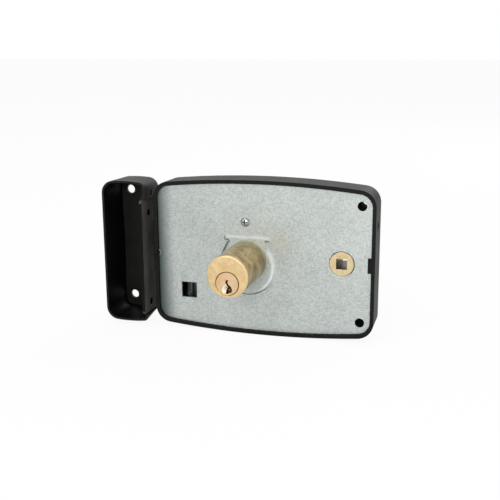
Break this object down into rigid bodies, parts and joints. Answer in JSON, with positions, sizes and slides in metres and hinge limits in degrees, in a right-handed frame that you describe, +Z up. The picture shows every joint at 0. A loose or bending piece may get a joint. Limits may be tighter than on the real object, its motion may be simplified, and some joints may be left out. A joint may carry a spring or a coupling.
{
  "type": "single-point rim lock",
  "caption": "Surface-mounted rim lock with key cylinder, deadbolt, sprung latch, spindle follower, inside turn knob and a box keeper for the door frame.",
  "frame": {"origin": "axis of the key cylinder's body where it meets the face of the door, on which the rim of the case and the pad of the back plate lie", "axes": "+Z up, -Y out of the room along the key cylinder, +Y into the room, -X towards the door's edge and the keeper"},
  "size_m": [0.1703, 0.0786, 0.096],
  "materials": {
    "case_black": "satin black powder coat",
    "keeper_black": "satin black powder coat",
    "strike_black": "satin black paint",
    "galvanised": "galvanised sheet",
    "zinc_screw": "zinc plated",
    "rivet_steel": "dark steel",
    "bolt_steel": "nickel plated steel",
    "spring_steel": "spring steel",
    "brass": "turned brass",
    "plug_brass": "turned brass",
    "pin_brass": "turned brass",
    "knob_brass": "satin brass",
    "follower_brass": "cast brass"
  },
  "bodies": {
    "case": {"case_cover": "case_black", "back_plate": "galvanised", "edge_rivet": "rivet_steel", "plate_screw": "zinc_screw", "cylinder_body": "brass", "cylinder_clamp": "galvanised", "clamp_screws": "zinc_screw", "driver_pins": "pin_brass", "pin_springs": "spring_steel", "chamber_caps": "pin_brass", "deadbolt_stud": "bolt_steel", "detent_spring": "spring_steel", "detent_rivet": "rivet_steel", "latch_stud": "bolt_steel", "latch_spring": "spring_steel", "spring_pin": "bolt_steel", "guide_bracket": "galvanised", "bracket_screws": "zinc_screw", "keeper_cover": "keeper_black", "strike_plate": "strike_black", "strike_rivets": "rivet_steel"},
    "key_turn": {"plug": "plug_brass", "key_pins": "pin_brass", "plug_clip": "spring_steel", "tailpiece": "bolt_steel", "crank": "bolt_steel", "turn_knob": "knob_brass", "knob_pin": "bolt_steel"},
    "bolt": {"deadbolt": "bolt_steel"},
    "latch": {"latch_head": "bolt_steel", "latch_slide": "galvanised", "latch_rivets": "rivet_steel"},
    "handle_follower": {"follower": "follower_brass"}
  },
  "joints": [
    {"name": "key_and_knob_turn", "type": "hinge", "parent": "case", "child": "key_turn", "pos_m": [0, 0, -0.00395], "axis": [0, 1, 0], "range_deg": [0, 90.1]},
    {"name": "deadbolt_throw", "type": "slide", "parent": "case", "child": "bolt", "axis": [-1, 0, 0], "range_m": [0, 0.01414], "deforming": ["detent_spring"]},
    {"name": "follower_turn", "type": "hinge", "parent": "case", "child": "handle_follower", "pos_m": [0.058, 0, 0.0013], "axis": [0, 1, 0], "range_deg": [0, 36.1]},
    {"name": "latch_draw", "type": "slide", "parent": "case", "child": "latch", "axis": [1, 0, 0], "range_m": [0, 0.011], "stiffness_N_per_m": 150, "springref_m": -0.006, "deforming": ["latch_spring"]}
  ],
  "couplings": [
    {"joint": "key_and_knob_turn", "follows": "deadbolt_throw", "rad_per_m": 111.07},
    {"joint": "follower_turn", "follows": "latch_draw", "rad_per_m": 57.12}
  ]
}
